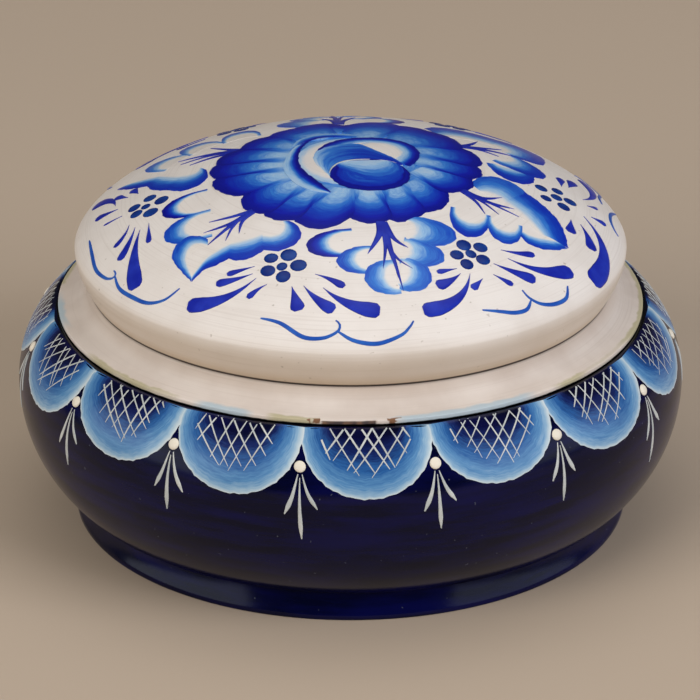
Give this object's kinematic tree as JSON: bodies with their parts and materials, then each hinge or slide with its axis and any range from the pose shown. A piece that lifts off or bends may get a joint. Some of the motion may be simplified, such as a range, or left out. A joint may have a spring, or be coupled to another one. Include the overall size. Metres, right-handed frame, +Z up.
{
  "type": "lidded trinket box",
  "caption": "Squat round turned-wood trinket box with a flared foot, a cream collar ring and a domed lift-off lid, hand painted in cobalt blue.",
  "frame": {"origin": "centre of the foot's underside, on the surface the box stands on", "axes": "+Z up along the turning axis; the painted front faces -Y"},
  "size_m": [0.12, 0.12, 0.0664],
  "materials": {
    "bowl_lacquer": "linden wood painted dark navy and gloss lacquered, with light blue scallops and white hatching",
    "collar_paint": "linden wood painted cream, satin lacquered",
    "lid_paint": "linden wood painted cream with cobalt flowers, satin lacquered"
  },
  "bodies": {
    "base": {"bowl": "bowl_lacquer", "collar_ring": "collar_paint"},
    "lid": {"lid": "lid_paint"}
  },
  "joints": [
    {"name": "lid_lift", "type": "slide", "parent": "base", "child": "lid", "axis": [0, 0, 1], "range_m": [0, 0.06]}
  ]
}
